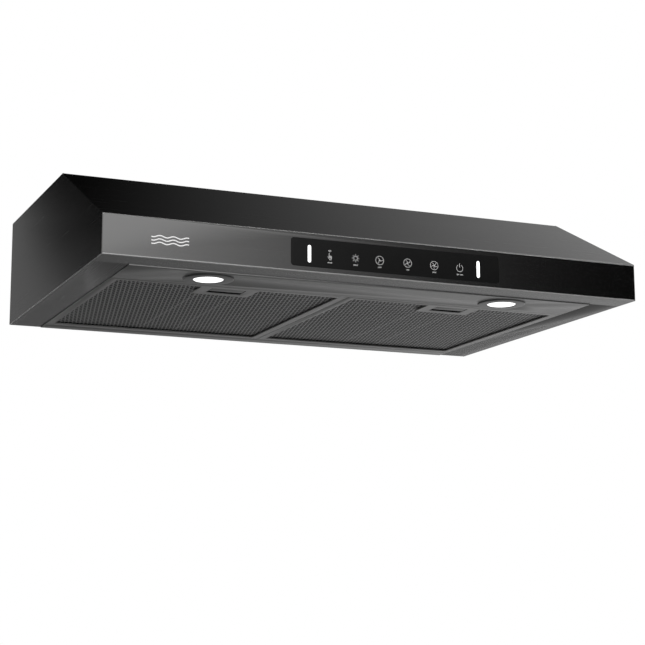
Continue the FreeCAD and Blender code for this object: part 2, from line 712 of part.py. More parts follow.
def make_motor(name, sign):
    """Motor can with its bearing seats, and the wound stator inside it."""
    can = body(f"motor_can_{name}")
    place(can, f"{sign} * blower_x")
    seat = "bearing_radius"
    spin(can, [
        (seat, "motor_bottom - 3"), ("bearing_radius + 2", "motor_bottom - 3"),
        ("bearing_radius + 2", "motor_bottom"), ("motor_radius", "motor_bottom"),
        ("motor_radius", "motor_top"), (seat, "motor_top"),
        (seat, "motor_top - bearing_width"), ("bearing_radius + 2", "motor_top - bearing_width"),
        ("bearing_radius + 2", "motor_top - 2"), ("motor_radius - 1.5", "motor_top - 2"),
        ("motor_radius - 1.5", "motor_bottom + 2"), ("bearing_radius + 2", "motor_bottom + 2"),
        ("bearing_radius + 2", "motor_bottom + bearing_width - 3"),
        (seat, "motor_bottom + bearing_width - 3"),
    ])
    stator = body(f"stator_{name}")
    place(stator, f"{sign} * blower_x")
    spin(stator, [
        ("rotor_radius + air_gap", "motor_bottom + 10"), ("motor_radius - 1.7", "motor_bottom + 10"),
        ("motor_radius - 1.7", "motor_top - 10"), ("rotor_radius + air_gap", "motor_top - 10"),
    ])


def make_bearings():
    """Two sleeve bearings for each motor, one in each end of its can."""
    rings = []
    for _, sign in SIDES:
        for low in ("motor_top - bearing_width", "motor_bottom - 3"):
            x, high = (f"{sign} * blower_x", f"{low} + bearing_width")
            outer = cylinder("BearingOuter", x, "0", low, high, "bearing_radius")
            running = "shaft_radius + shaft_clearance"
            bore = cylinder("BearingBore", x, "0", f"{low} - 1", f"{high} + 1", running)
            rings.append(less(outer, bore))
    group("motor_bearings", rings)


def make_rotor(name, sign):
    """Motor shaft with the rotor core and the wheel's nut on it."""
    part = body(f"rotor_{name}")
    place(part, f"{sign} * blower_x")
    core_low, core_high = ("motor_bottom + 10", "motor_top - 10")
    spin(part, [
        ("0", "hub_top - 22"), ("6", "hub_top - 22"), ("6", "hub_top - 16.1"),
        ("shaft_radius", "hub_top - 16.1"),
        ("shaft_radius", core_low), ("rotor_radius", core_low), ("rotor_radius", core_high),
        ("shaft_radius", core_high),
        ("shaft_radius", "motor_top - 0.5"), ("0", "motor_top - 0.5"),
    ])


def make_wheel(name, sign):
    """Squirrel cage wheel: cupped back plate, forward curved blades and a front ring."""
    part = body(f"impeller_{name}")
    place(part, f"{sign} * blower_x")
    cup = "motor_radius + 4.5"
    spin(part, [
        ("shaft_radius", "hub_top - 16"), ("10", "hub_top - 16"), ("10", "hub_top - 1.5"),
        (cup, "hub_top - 1.5"), (f"{cup} + 1.5", "hub_top"), (f"{cup} + 1.5", "wheel_top - 1.5"),
        ("wheel_radius", "wheel_top - 1.5"),
        ("wheel_radius", "wheel_top"), (cup, "wheel_top"), (cup, "hub_top"), ("shaft_radius", "hub_top"),
    ])
    spin(part, [
        ("wheel_radius - blade_depth - 1", "wheel_bottom"), ("wheel_radius", "wheel_bottom"),
        ("wheel_radius", "wheel_bottom + 2"), ("wheel_radius - blade_depth - 1", "wheel_bottom + 2"),
    ])
    made = sketch(part, "XY", "wheel_bottom + 1.5")
    half = math.radians(40)
    bend = value("blade_depth") / (2 * math.sin(half))
    thick = value("blade_thickness")
    tip = value("wheel_radius") - 0.5 - value("blade_depth") / 2
    centre = FreeCAD.Vector(tip, sign * bend * math.cos(half), 0)
    up = FreeCAD.Vector(0, 0, 1)
    middle = -sign * math.pi / 2
    arcs = []
    for radius in (bend, bend + thick):
        curve = Part.Circle(centre, up, radius)
        arcs.append(made.addGeometry(Part.ArcOfCircle(curve, middle - half, middle + half)))
    for end, turn in ((1, -half), (2, half)):
        a, b = [
            FreeCAD.Vector(centre.x + r * math.cos(middle + turn), centre.y + r * math.sin(middle + turn), 0)
            for r in (bend, bend + thick)
        ]
        line = made.addGeometry(Part.LineSegment(a, b))
        made.addConstraint(Sketcher.Constraint("Coincident", arcs[0], end, line, 1))
        made.addConstraint(Sketcher.Constraint("Coincident", arcs[1], end, line, 2))
    made.addConstraint(Sketcher.Constraint("Coincident", arcs[0], 3, arcs[1], 3))
    bow = "blade_depth / (2 * sin(40))"
    hold(made, "Radius", (arcs[0],), bow)
    hold(made, "Radius", (arcs[1],), f"{bow} + blade_thickness")
    hold(made, "DistanceX", (-1, 1, arcs[0], 3), "wheel_radius - 0.5 - blade_depth / 2")
    hold(made, "DistanceY", (-1, 1, arcs[0], 3), f"{sign} * {bow} * cos(40)")
    blade = part.newObject("PartDesign::Pad", "Blade")
    blade.Profile = made
    blade.setExpression("Length", tie("wheel_top - 0.5 - (wheel_bottom + 1.5)"))
    doc.recompute()
    pattern = part.newObject("PartDesign::PolarPattern", "Blades")
    pattern.Originals = [blade]
    pattern.Axis = (made, ["N_Axis"])
    pattern.Angle = 360
    pattern.setExpression("Occurrences", tie("blade_count"))
    part.Tip = pattern


def make_blower_fixings():
    """Rubber mounts between each blower and the top sheet, and the screws that go up through them."""
    mounts, screws = [], []
    for _, sign in SIDES:
        for angle in MOUNT_ANGLES:
            x = f"{sign} * blower_x + {sign} * (motor_radius + mount_reach) * cos({angle})"
            y = f"(motor_radius + mount_reach) * sin({angle})"
            outer = cylinder("MountRubber", x, y, "blower_top", "-sheet", "mount_radius")
            bore = cylinder("MountBore", x, y, "blower_top - 1", "0", "screw_radius + screw_clearance")
            mounts.append(less(outer, bore))
            screws.append(screw(x, y, "blower_top - sheet", "blower_drop"))
    group("blower_mounts", mounts)
    group("blower_screws", screws)


# ---------------------------------------------------------------- duct outlet


def make_discharge_duct():
    """Channel that joins the two scroll mouths under the outlet."""
    part = body("discharge_duct")
    low = "blower_bottom - sheet"
    profile = [
        ("outlet_front - sheet", "flange_under"), ("outlet_front - sheet", low),
        ("outlet_back + sheet", low), ("outlet_back + sheet", "flange_under"),
        ("outlet_back", "flange_under"), ("outlet_back", f"{low} + sheet"),
        ("outlet_front", f"{low} + sheet"), ("outlet_front", "flange_under"),
    ]
    pad(part, "YZ", "-duct_end", "duct_end", [profile])


COLLAR_SCREWS = [(f"{k} * (duct_width / 2 - 27)", sy) for k in (-1, 0, 1) for sy in (-1, 1)]


def duct_rectangle(margin):
    """The collar's outside in plan, grown by a margin."""
    return rectangle(f"-collar_x - ({margin})", f"collar_x + ({margin})", f"duct_y - collar_y - ({margin})",
                     f"duct_y + collar_y + ({margin})")


def make_collar():
    """Duct collar with its flange below the top sheet, the stops for the flaps and the gasket."""
    part = body("duct_collar")
    pad(part, "XY", "flange_under", "collar_height", [duct_rectangle("0"), duct_rectangle("-collar_wall")])
    flange = duct_rectangle("collar_flange")
    pad(part, "XY", "flange_under", "flange_under + collar_wall", [flange, duct_rectangle("-collar_wall")])
    top = "flap_axis_height - flap_thickness / 2 - 0.2"
    for sy in (-1, 1):
        near = f"duct_y + {sy} * (collar_y - collar_wall - 4)"
        far = f"duct_y + {sy} * (collar_y - collar_wall / 2)"
        pad(part, "XY", f"{top} - 1", top, [across("0", "collar_x - collar_wall / 2", near, far)])
    pin_hole = "flap_pin_radius + shaft_clearance"
    pins = [(f"duct_y + {sy} * flap_axis_offset", "flap_axis_height", pin_hole) for sy in (-1, 1)]
    cut(part, "YZ", "-collar_x", "collar_x", circles=pins)
    screw_places = [(x, f"duct_y + {sy} * (collar_y + collar_flange / 2)") for x, sy in COLLAR_SCREWS]
    holes = [(x, y, "screw_radius + screw_clearance") for x, y in screw_places]
    cut(part, "XY", "flange_under", "flange_under + collar_wall", circles=holes)
    gasket = body("collar_gasket")
    pad(gasket, "XY", "flange_under + collar_wall", "-sheet", [flange, duct_rectangle("0.4")], holes)
    group("collar_screws", [screw(x, y, "flange_under", "gasket + collar_wall") for x, y in screw_places])


def make_flaps():
    """The two backdraught flaps, each a plate rolled on to its hinge pin."""
    for name, sy in (("front", -1), ("rear", 1)):
        part = body(f"damper_flap_{name}")
        axis = f"duct_y + {sy} * flap_axis_offset"
        pin = (axis, "flap_axis_height", "flap_pin_radius")
        pad(part, "YZ", "-collar_x - 0.5", "collar_x + 0.5", circles=[pin])
        plate = rectangle(axis, f"duct_y + {sy} * (collar_y - collar_wall - 1)",
                          "flap_axis_height - flap_thickness / 2", "flap_axis_height + flap_thickness / 2")
        pad(part, "YZ", "-collar_x + collar_wall + 1", "collar_x - collar_wall - 1", [plate])


# ---------------------------------------------------------------- electrics


def make_electric_box(label, x, width):
    """A box hung from the top sheet, open below, with a screwed cover."""
    x0, x1 = (f"{x} - {width} / 2", f"{x} + {width} / 2")
    y0, y1 = ("box_y - box_depth / 2", "box_y + box_depth / 2")
    part = body(label)
    pad(part, "XY", "box_bottom", "box_top", [rectangle(x0, x1, y0, y1)])
    inside = rectangle(f"{x0} + 1.5", f"{x1} - 1.5", f"{y0} + 1.5", f"{y1} - 1.5")
    cut(part, "XY", "box_bottom", "box_top - 2", [inside])
    spots = [
        (f"{x} + {sx} * ({width} / 2 - 7)", f"box_y + {sy} * (box_depth / 2 - 7)") for sx, sy in CORNERS
    ]
    ears = [
        rectangle(f"{px} - 5.5 - {0.5 * (sx < 0)}", f"{px} + 5.5 + {0.5 * (sx > 0)}",
                  f"{py} - 5.5 - {0.5 * (sy < 0)}", f"{py} + 5.5 + {0.5 * (sy > 0)}")
        for (px, py), (sx, sy) in zip(spots, CORNERS)
    ]
    pad(part, "XY", "box_bottom", "box_bottom + 8", ears)
    holes = [(px, py, "screw_radius + screw_clearance") for px, py in spots]
    cut(part, "XY", "box_bottom", "box_bottom + 8", circles=holes)
    cover = body(f"{label}_cover")
    pad(cover, "XY", "box_bottom - 1.2", "box_bottom", [rectangle(x0, x1, y0, y1)], holes)
    return [screw(px, py, "box_bottom - 1.2", "8") for px, py in spots]


def vent_screw(x, z):
    """A screw through the rear vent cover, its head inside the hood."""
    head = doc.addObject("Part::Cylinder", "VentHead")
    shank = doc.addObject("Part::Cylinder", "VentShank")
    for made, radius, length, start in (
        (head, "screw_head", "2", "back - 2 * sheet"), (shank, "screw_radius", "2 * sheet", "back"),
    ):
        made.Placement.Rotation = FreeCAD.Rotation(FreeCAD.Vector(1, 0, 0), 90)
        made.setExpression("Radius", tie(radius))
        made.setExpression("Height", tie(length))
        place(made, x, start, z)
    return joined("VentScrew", head, shank)


def make_electrics():
    """Control box and junction box with their contents, the cable bush and all their screws."""
    screws = make_electric_box("control_box", "control_box_x", "control_box_width")
    screws += make_electric_box("junction_box", "junction_box_x", "junction_box_width")
    screws += [vent_screw(x, z) for x, z in VENT_SCREWS]
    group("cover_screws", screws)

    board = body("power_board")
    x0, x1 = ("control_box_x - control_box_width / 2 + 14", "control_box_x + control_box_width / 2 - 14")
    y0, y1 = ("box_y - box_depth / 2 + 14", "box_y + box_depth / 2 - 14")
    pad(board, "XY", "box_bottom + 12", "box_bottom + 13.6", [rectangle(x0, x1, y0, y1)])
    parts_on_board = [
        rectangle(f"{x0} + 4", f"{x0} + 36", f"{y0} + 4", f"{y0} + 34"),
        rectangle(f"{x0} + 44", f"{x0} + 60", f"{y0} + 6", f"{y0} + 22"),
        rectangle(f"{x0} + 44", f"{x0} + 60", f"{y0} + 28", f"{y0} + 44"),
        rectangle(f"{x0} + 66", f"{x0} + 82", f"{y0} + 6", f"{y0} + 22"),
    ]
    pad(board, "XY", "box_bottom + 13.6", "box_top - 11", parts_on_board)
    low, high = ("box_bottom + 13.6", "box_top - 6")
    places = [f"control_box_x + {k} * 20" for k in (-1, 1)]
    group("motor_capacitors", [cylinder("Capacitor", x, "box_y + 24", low, high, "9") for x in places])

    bush = body("cable_bush")
    place(bush, "junction_box_x", "box_y")
    spin(bush, [
        ("bush_bore", "-10"), ("bush_radius + 3", "-10"), ("bush_radius + 3", "box_top - 2"),
        ("bush_radius", "box_top - 2"),
        ("bush_radius", "bush_rise - 1.5"), ("bush_radius - 1.5", "bush_rise"), ("bush_bore", "bush_rise"),
    ])


def open_bush_hole():
    """The cable bush passes through the junction box's roof as well as the top sheet."""
    part = next(node for node in nodes if node.Label == "junction_box")
    cut(part, "XY", "box_top - 2", "box_top", circles=[("junction_box_x", "box_y", "bush_radius + 0.2")])


def build():
    make_canopy_front()
    make_top_panel()
    make_side_panels()
    make_back_panel()
    make_rear_vent_cover()
    make_light_panel()
    make_rear_rail()
    for name, sign in SIDES:
        make_filter(name, sign)
        make_latch(name, sign)
        make_lamp(name, sign)
        make_volute(name, sign)
        make_inlet_guard(name, sign)
        make_motor(name, sign)
        make_rotor(name, sign)
        make_wheel(name, sign)
    make_led_boards()
    make_control_panel()
    make_bearings()
    make_blower_fixings()
    make_discharge_duct()
    make_collar()
    make_flaps()
    make_electrics()
    open_bush_hole()
    doc.recompute()


def check():
    """Stops before anything is written if an object failed or a sub-part isn't a set of valid solids."""
    failed = [o.Label for o in doc.Objects if "Invalid" in o.State or "Error" in o.State]
    if failed:
        raise RuntimeError(f"these objects failed: {failed}")
    for node in nodes:
        shape = node.Shape
        if shape.isNull() or not shape.isValid() or not shape.Solids:
            raise RuntimeError(f"{node.Label} is not a valid solid")


def write():
    os.makedirs("parts", exist_ok=True)
    for node in nodes:
        node.Shape.exportStep(os.path.join("parts", f"{node.Label}.step"))
    print(len(nodes), "sub-parts written")


build()
check()
write()
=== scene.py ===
# %% [markdown]
# # An under cabinet range hood in black stainless steel
# The hood hangs under a kitchen cupboard. Bent sheet makes its top, sloping front and upright lip; two end panels
# close it, and the underside holds two lamps and two grease filters that drop down on latches. The solid frame comes
# from the design file, in metres, so every piece below takes its place from the frame instead of being fitted by eye.

# %% Load the frame
import json
import math

import bmesh
import bpy
from mathutils import Matrix, Vector


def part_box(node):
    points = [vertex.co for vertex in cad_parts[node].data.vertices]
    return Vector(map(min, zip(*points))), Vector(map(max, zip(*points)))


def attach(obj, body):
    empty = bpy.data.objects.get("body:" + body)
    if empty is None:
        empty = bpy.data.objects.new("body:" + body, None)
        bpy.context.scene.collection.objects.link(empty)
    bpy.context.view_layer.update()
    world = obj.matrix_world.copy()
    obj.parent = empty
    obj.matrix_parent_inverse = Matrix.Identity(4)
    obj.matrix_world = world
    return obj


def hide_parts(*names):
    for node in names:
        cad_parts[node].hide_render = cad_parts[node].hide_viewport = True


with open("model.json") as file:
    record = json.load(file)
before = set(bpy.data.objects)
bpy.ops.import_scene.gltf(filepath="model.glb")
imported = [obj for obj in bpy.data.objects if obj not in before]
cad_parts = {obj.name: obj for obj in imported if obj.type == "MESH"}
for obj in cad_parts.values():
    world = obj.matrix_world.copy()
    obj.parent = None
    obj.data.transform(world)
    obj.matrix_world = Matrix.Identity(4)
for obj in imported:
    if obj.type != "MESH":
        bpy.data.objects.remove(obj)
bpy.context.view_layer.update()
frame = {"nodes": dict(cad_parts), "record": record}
MM = 0.001
NEAR = 0.1 * MM
SIDES = ("left", "right")

# %% [markdown]
# ## Camera
# A long lens, low and to the left, looks up at the underside. A camera looks along its own -Z, so its matrix is
# built from three directions: right, up and backwards. A long lens keeps the hood's edges nearly parallel.

# %% Camera
CAMERA_PLACE = Vector((-0.8889, -2.2167, -0.5982))
CAMERA_TURN = math.radians(23.168)
CAMERA_RISE = math.radians(10.658)
CAMERA_ROLL = math.radians(-0.174)
CAMERA_LENS = 91.62


def aim_camera():
    """A camera at CAMERA_PLACE that looks along CAMERA_TURN and CAMERA_RISE."""
    turn, rise = CAMERA_TURN, CAMERA_RISE
    ahead = Vector((math.sin(turn) * math.cos(rise), math.cos(turn) * math.cos(rise), math.sin(rise)))
    right = Vector((math.cos(turn), -math.sin(turn), 0))
    up = right.cross(ahead)
    roll = Matrix.Rotation(-CAMERA_ROLL, 3, ahead)
    axes = Matrix((roll @ right, roll @ up, -ahead)).transposed()
    camera = bpy.data.objects.new("camera", bpy.data.cameras.new("camera"))
    camera.data.lens = CAMERA_LENS
    camera.data.sensor_width = 36
    camera.data.clip_end = 100
    camera.matrix_world = Matrix.Translation(CAMERA_PLACE) @ axes.to_4x4()
    bpy.context.scene.collection.objects.link(camera)
    bpy.context.scene.camera = camera
    print("camera to hood:", round(CAMERA_PLACE.length, 3), "m")


aim_camera()

# %% [markdown]
# ## Shader sums
# A finish is a small graph of nodes. Written as plain sums, such as `0.3 + 0.05 * grain`, it reads like the recipe
# that it is. `Wire` wraps one output of a node and adds a Math node for each operation; `Finish` owns one material
# and has a single method that makes any other node.


# %% A wire that can be used in a sum
class Wire:
    """One output socket of a node. Sums with it add Math nodes to its finish."""

    def __init__(self, finish, socket):
        self.finish = finish
        self.socket = socket

    def math(self, operation, first, second=0.0):
        return self.finish.node("ShaderNodeMath", {"operation": operation}, {0: first, 1: second})

    def __add__(self, other):
        return self.math("ADD", self, other)

    def __sub__(self, other):
        return self.math("SUBTRACT", self, other)

    def __rsub__(self, other):
        return self.math("SUBTRACT", other, self)

    def __mul__(self, other):
        return self.math("MULTIPLY", self, other)

    def __pow__(self, other):
        return self.math("POWER", self, other)

    def __gt__(self, other):
        return self.math("GREATER_THAN", self, other)

    __radd__ = __add__
    __rmul__ = __mul__

    def clamped(self):
        """The same value held between 0 and 1."""
        made = self.math("ADD", self, 0.0)
        made.socket.node.use_clamp = True
        return made


class Finish:
    """One material: its Principled shader, and a method that adds any other node."""

    def __init__(self, name, **constants):
        self.material = bpy.data.materials.new(name)
        self.material.use_nodes = True
        self.tree = self.material.node_tree
        self.shader = next(n for n in self.tree.nodes if n.type == "BSDF_PRINCIPLED")
        for socket, value in constants.items():
            self.set(socket.replace("_", " ").title().replace("Ior", "IOR"), value)

    def node(self, kind, settings=None, sockets=None, output=0):
        """A node with its settings first, then a value or a wire for each named socket."""
        made = self.tree.nodes.new(kind)
        for name, value in (settings or {}).items():
            setattr(made, name, value)
        for name, value in (sockets or {}).items():
            if isinstance(value, Wire):
                self.tree.links.new(value.socket, made.inputs[name])
            else:
                made.inputs[name].default_value = value
        return Wire(self, made.outputs[output])

    def set(self, socket, value):
        """Feeds the shader's socket with a wire, or sets it to a constant."""
        if isinstance(value, Wire):
            self.tree.links.new(value.socket, self.shader.inputs[socket])
        else:
            self.shader.inputs[socket].default_value = value

    def place(self, scale=(1, 1, 1)):
        """The point's own place on the object, stretched by scale."""
        where = self.node("ShaderNodeTexCoord", output="Object")
        return self.node("ShaderNodeMapping", None, {"Vector": where, "Scale": scale})

    def noise(self, where, scale, detail=2.0, roughness=0.5):
        sockets = {"Vector": where, "Scale": scale, "Detail": detail, "Roughness": roughness}
        return self.node("ShaderNodeTexNoise", None, sockets, "Fac")

    def mix(self, factor, first, second):
        """Two colours mixed by factor."""
        sockets = {0: factor, 6: first, 7: second}
        return self.node("ShaderNodeMix", {"data_type": "RGBA"}, sockets, 2)

    def bump(self, height, distance, strength=1.0):
        """Sends a height in units of distance to the shader's normal."""
        sockets = {"Height": height, "Distance": distance, "Strength": strength}
        self.set("Normal", self.node("ShaderNodeBump", None, sockets, "Normal"))


def grey(level, warm=0.0):
    """A grey colour, a little warm or cold."""
    return (level * (1 + warm), level, level * (1 - warm), 1.0)


print("shader helpers ready")

# %% [markdown]
# ## Black stainless steel
# The shell is steel with a dark coloured layer and a fine brushed grain. Brushing leaves scratches that are very long
# and very thin, so two noises are stretched hundreds of times along the grain. They move the tone and roughness a
# little and raise a bump far thinner than a hair; a wide slow noise adds the faint clouds that handling leaves. The
# dark layer is dull when seen along the sheet, so its specular tint is under one. The folds take a lighter copy of
# the steel, a painted highlight.


# %% Black stainless finish
STEEL_WARMTH = 0.005
SCRATCH_DEPTH = 0.03 * MM


def black_steel(name, grain="X", level=0.2, rough=0.25, relief=0.1):
    """Dark brushed steel with its grain along X or Y."""
    finish = Finish(name, metallic=1.0)
    long_x = (1.5, 700, 700) if grain == "X" else (700, 1.5, 700)
    short_x = (9, 1600, 1600) if grain == "X" else (1600, 9, 1600)
    streaks = finish.noise(finish.place(long_x), 1.0, 3.0, 0.6)
    scratches = finish.noise(finish.place(short_x), 1.0, 2.0, 0.7)
    clouds = finish.noise(finish.place(), 7.0, 3.0)
    grain_level = 0.6 * streaks + 0.4 * scratches
    finish.set("Roughness", rough - 0.09 + 0.14 * grain_level + 0.04 * clouds)
    tone = (grain_level * 0.9 + 0.05).clamped()
    finish.set("Base Color", finish.mix(tone, grey(level * 0.9, STEEL_WARMTH), grey(level * 1.1, STEEL_WARMTH)))
    finish.bump(grain_level, SCRATCH_DEPTH, relief)
    return finish


shell_steel = black_steel("shell_steel")
end_steel = black_steel("end_steel", grain="Y", relief=0.03)
shell_steel.set("Specular Tint", grey(0.88))
end_steel.set("Specular Tint", grey(0.78))
tray_steel = black_steel("tray_steel", level=0.28, rough=0.3)
filter_steel = black_steel("filter_steel", level=0.33, rough=0.32)
# painted highlight: this lighter steel goes on the bevelled folds and stands for the line of light along them
fold_highlight_steel = black_steel("fold_highlight_steel", level=0.5, rough=0.45)
print("black steels:", [m.name for m in bpy.data.materials if "steel" in m.name])

# %% [markdown]
# ## Pieces cut from the frame's own solids
# Bent sheet never has a truly sharp edge: each fold is an arc, and a thin line of light runs along it. The frame's
# solids have sharp folds, so a shell is made from a copy: its loose triangles are merged, flat areas are joined, and
# the edges picked by a test are bevelled. The new faces can take a second finish, a lighter steel that paints a
# highlight along the fold.
# The copy then stands for the solid, which still collides, hidden.


# %% Copying and softening
SMOOTH_BELOW = 35
FLAT_WITHIN = math.radians(0.3)


def copied(node):
    """The named solid as a bmesh with whole faces."""
    bm = bmesh.new()
    bm.from_mesh(frame["nodes"][node].data)
    bmesh.ops.remove_doubles(bm, verts=bm.verts, dist=1e-6)
    bmesh.ops.dissolve_limit(bm, angle_limit=FLAT_WITHIN, verts=bm.verts, edges=bm.edges)
    return bm


def soften(bm, width, segments=2, wanted=None, sharper=30, second_finish=False):
    """Bevels the convex edges that turn more than sharper degrees and pass the test wanted.

    With second_finish, the new faces take the piece's second finish.
    """
    edges = []
    for edge in bm.edges:
        if len(edge.link_faces) != 2 or not edge.is_convex:
            continue
        if edge.calc_face_angle(0) < math.radians(sharper):
            continue
        if wanted is None or wanted(edge):
            edges.append(edge)
    made = bmesh.ops.bevel(bm, geom=edges, offset=width, offset_type="OFFSET", segments=segments, profile=0.5,
                           affect="EDGES", clamp_overlap=True, material=-1)
    if second_finish:
        for face in made["faces"]:
            face.material_index = 1
    return len(edges)


def piece(name, bm, body, finish, stands_for=(), second=None):
    """Makes an object of the bmesh, gives it its finishes and hangs it on its body."""
    mesh = bpy.data.meshes.new(name)
    bm.to_mesh(mesh)
    bm.free()
    for face in mesh.polygons:
        face.use_smooth = True
    mesh.set_sharp_from_angle(angle=math.radians(SMOOTH_BELOW))
    made = bpy.data.objects.new(name, mesh)
    bpy.context.scene.collection.objects.link(made)
    for each in (finish, second) if second else (finish,):
        mesh.materials.append(each.material)
    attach(made, body)
    if stands_for:
        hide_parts(*stands_for)
    return made


def middle(edge):
    return (edge.verts[0].co + edge.verts[1].co) / 2


print("solids in the frame:", len(frame["nodes"]))

# %% [markdown]
# ## Canopy
# One sheet is bent into slope, lip and the narrow front flange, under a flat top. The folds that show get a radius of
# nearly two millimetres, as a press brake leaves, and everything else only loses its razor edge.

# %% Canopy and end panels
FOLD_RADIUS = 1.8 * MM
EDGE_RADIUS = 0.25 * MM
canopy_low, canopy_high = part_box("canopy_front")
front = canopy_low.y
underside = canopy_low.z


def is_fold(edge):
    """True for the three long outer folds: at the brow and at both edges of the lip."""
    span = abs(edge.verts[0].co.x - edge.verts[1].co.x)
    at = middle(edge)
    at_brow = at.z > canopy_high.z - NEAR and at.y < canopy_high.y - MM
    return span > 0.9 * (canopy_high.x - canopy_low.x) and (at_brow or at.y < front + NEAR)


canopy = copied("canopy_front")
# the rounded folds take the lighter steel, a painted highlight
folds = soften(canopy, FOLD_RADIUS, 4, is_fold, 20, second_finish=True)
piece("canopy", canopy, "hood", shell_steel, ["canopy_front"], second=fold_highlight_steel)
print("rounded folds on the canopy:", folds)
roof = copied("top_panel")
soften(roof, EDGE_RADIUS, 1, lambda edge: edge.calc_length() < 50 * MM)
piece("roof", roof, "hood", shell_steel, ["top_panel"])

for side in SIDES:
    end = copied(f"{side}_side_panel")
    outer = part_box(f"{side}_side_panel")[SIDES.index(side)].x
    # the end panel's lower outer edge takes the lighter steel, a painted highlight
    soften(end, 0.8 * MM, 2, lambda edge: abs(middle(edge).x - outer) < NEAR and middle(edge).z < underside + MM,
           second_finish=True)
    soften(end, EDGE_RADIUS, 1, lambda edge: edge.calc_length() > 20 * MM)
    piece(f"{side}_end", end, "hood", end_steel, [f"{side}_side_panel"], second=fold_highlight_steel)

# %% [markdown]
# ## Underside
# The lamp tray hooks over the front flange and stands a millimetre below it, so its front edge catches a line of
# light. Behind the filters a rail closes the underside. Both are thin folded sheet with rounded edges.

# %% Lamp tray and rear rail
tray = copied("light_panel")
tray_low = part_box("light_panel")[0]


def at_tray_front(edge):
    """True for the tray's lower front edge."""
    at = middle(edge)
    return at.y < tray_low.y + NEAR and at.z < tray_low.z + NEAR


# the tray's rounded front edge takes the lighter steel, a painted highlight
rounded = soften(tray, 0.85 * MM, 3, at_tray_front, second_finish=True)
soften(tray, EDGE_RADIUS, 2)
piece("lamp_tray", tray, "hood", tray_steel, ["light_panel"], second=fold_highlight_steel)
rail = copied("rear_rail")
soften(rail, EDGE_RADIUS, 2)
piece("tail_rail", rail, "hood", tray_steel, ["rear_rail"])
print("rounded edges at the tray's front:", rounded)

# %% [markdown]
# ## Filter frames
# Each frame is folded from thin sheet round the edges of the mesh, with a pressed cup for the latch. A small radius
# on every edge keeps it from looking cut out of card. Hardly any light gets into the cup, so it is nearly black.

# %% Filter frames
CUP_SIDE = 2 * MM
CUP_START = 15 * MM
CUP_END = 10.4 * MM
cup_shade = black_steel("cup_shade", level=0.02, rough=0.7)
for side in SIDES:
    hem = copied(f"filter_frame_{side}")
    face_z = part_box(f"filter_frame_{side}")[0].z
    low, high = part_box(f"latch_{side}")
    soften(hem, EDGE_RADIUS * 1.5, 2)
    for face in hem.faces:
        at = face.calc_center_median()
        across_cup = low.x - CUP_SIDE < at.x < high.x + CUP_SIDE
        along_cup = low.y + CUP_START < at.y < high.y + CUP_END
        face.material_index = 1 if across_cup and along_cup and at.z > face_z + 0.5 * MM else 0
    dark_faces = sum(face.material_index for face in hem.faces)
    piece(f"filter_{side}_frame", hem, f"filter_{side}", filter_steel, [f"filter_frame_{side}"],
          second=cup_shade)
    print(f"filter_{side}_frame, dark faces in its cup:", dark_faces)

# %% [markdown]
# ## Expanded mesh
# The face of each filter is sheet that was slit and pulled open into long diamonds. A grid turned by 45 degrees and
# squashed to the right pitch has diamond faces; insetting every face and deleting its middle leaves the strands.
# Clipping comes before the inset, so the strands still close round the border, and a Solidify step gives them their
# thickness. Behind them the finer layers only need a weave in their finish, and they are coloured nearly black as
# painted shade for the depth of the filter.

# %% Mesh finish
def strand_metal():
    """Strands of the expanded mesh: dark metal with a little grease film."""
    finish = Finish("strand_metal", metallic=1.0)
    film = finish.noise(finish.place(), 35.0, 3.0)
    finish.set("Roughness", 0.34 + 0.16 * film)
    finish.set("Base Color", finish.mix(film, grey(0.33), grey(0.43)))
    return finish


def shaded_pack_metal():
    """The finer layers behind the face: crossing wires read as a fine weave, nearly black as painted shade for the
    depth.
    """
    finish = Finish("shaded_pack_metal", metallic=0.8, roughness=0.6)
    weave = finish.node("ShaderNodeTexVoronoi", {"feature": "DISTANCE_TO_EDGE"},
                        {"Vector": finish.place(), "Scale": 480.0}, "Distance")
    wires = (1 - weave * 9).clamped()
    finish.set("Base Color", finish.mix(wires, grey(0.006), grey(0.035)))
    finish.bump(wires, 0.0003)
    return finish


strands = strand_metal()
shaded_fine_layers = shaded_pack_metal()
print("mesh finishes:", strands.material.name, shaded_fine_layers.material.name)

# %% Diamond mesh
DIAMOND_X = 5.7 * MM
DIAMOND_Y = 25.0 * MM
STRAND = 0.85 * MM
MESH_INSET = 0.6 * MM
SLIVER = 0.15


def keep_inside(bm, low, high):
    """Cuts the mesh along four sides and throws away what is outside."""
    for axis, limit, sign in ((0, low.x, -1), (0, high.x, 1), (1, low.y, -1), (1, high.y, 1)):
        place, normal = Vector((0, 0, 0)), Vector((0, 0, 0))
        place[axis], normal[axis] = limit, sign
        geometry = bm.verts[:] + bm.edges[:] + bm.faces[:]
        bmesh.ops.bisect_plane(bm, geom=geometry, plane_co=place, plane_no=normal, clear_outer=True)


def drop_notch(bm, x0, x1, y1):
    """Cuts along the notch for the latch and removes the faces in it."""
    for place, normal in (((x0, 0, 0), (1, 0, 0)), ((x1, 0, 0), (1, 0, 0)), ((0, y1, 0), (0, 1, 0))):
        geometry = bm.verts[:] + bm.edges[:] + bm.faces[:]
        bmesh.ops.bisect_plane(bm, geom=geometry, plane_co=place, plane_no=normal)
    middles = ((face, face.calc_center_median()) for face in bm.faces)
    inside = [face for face, at in middles if x0 < at.x < x1 and at.y < y1]
    bmesh.ops.delete(bm, geom=inside, context="FACES")


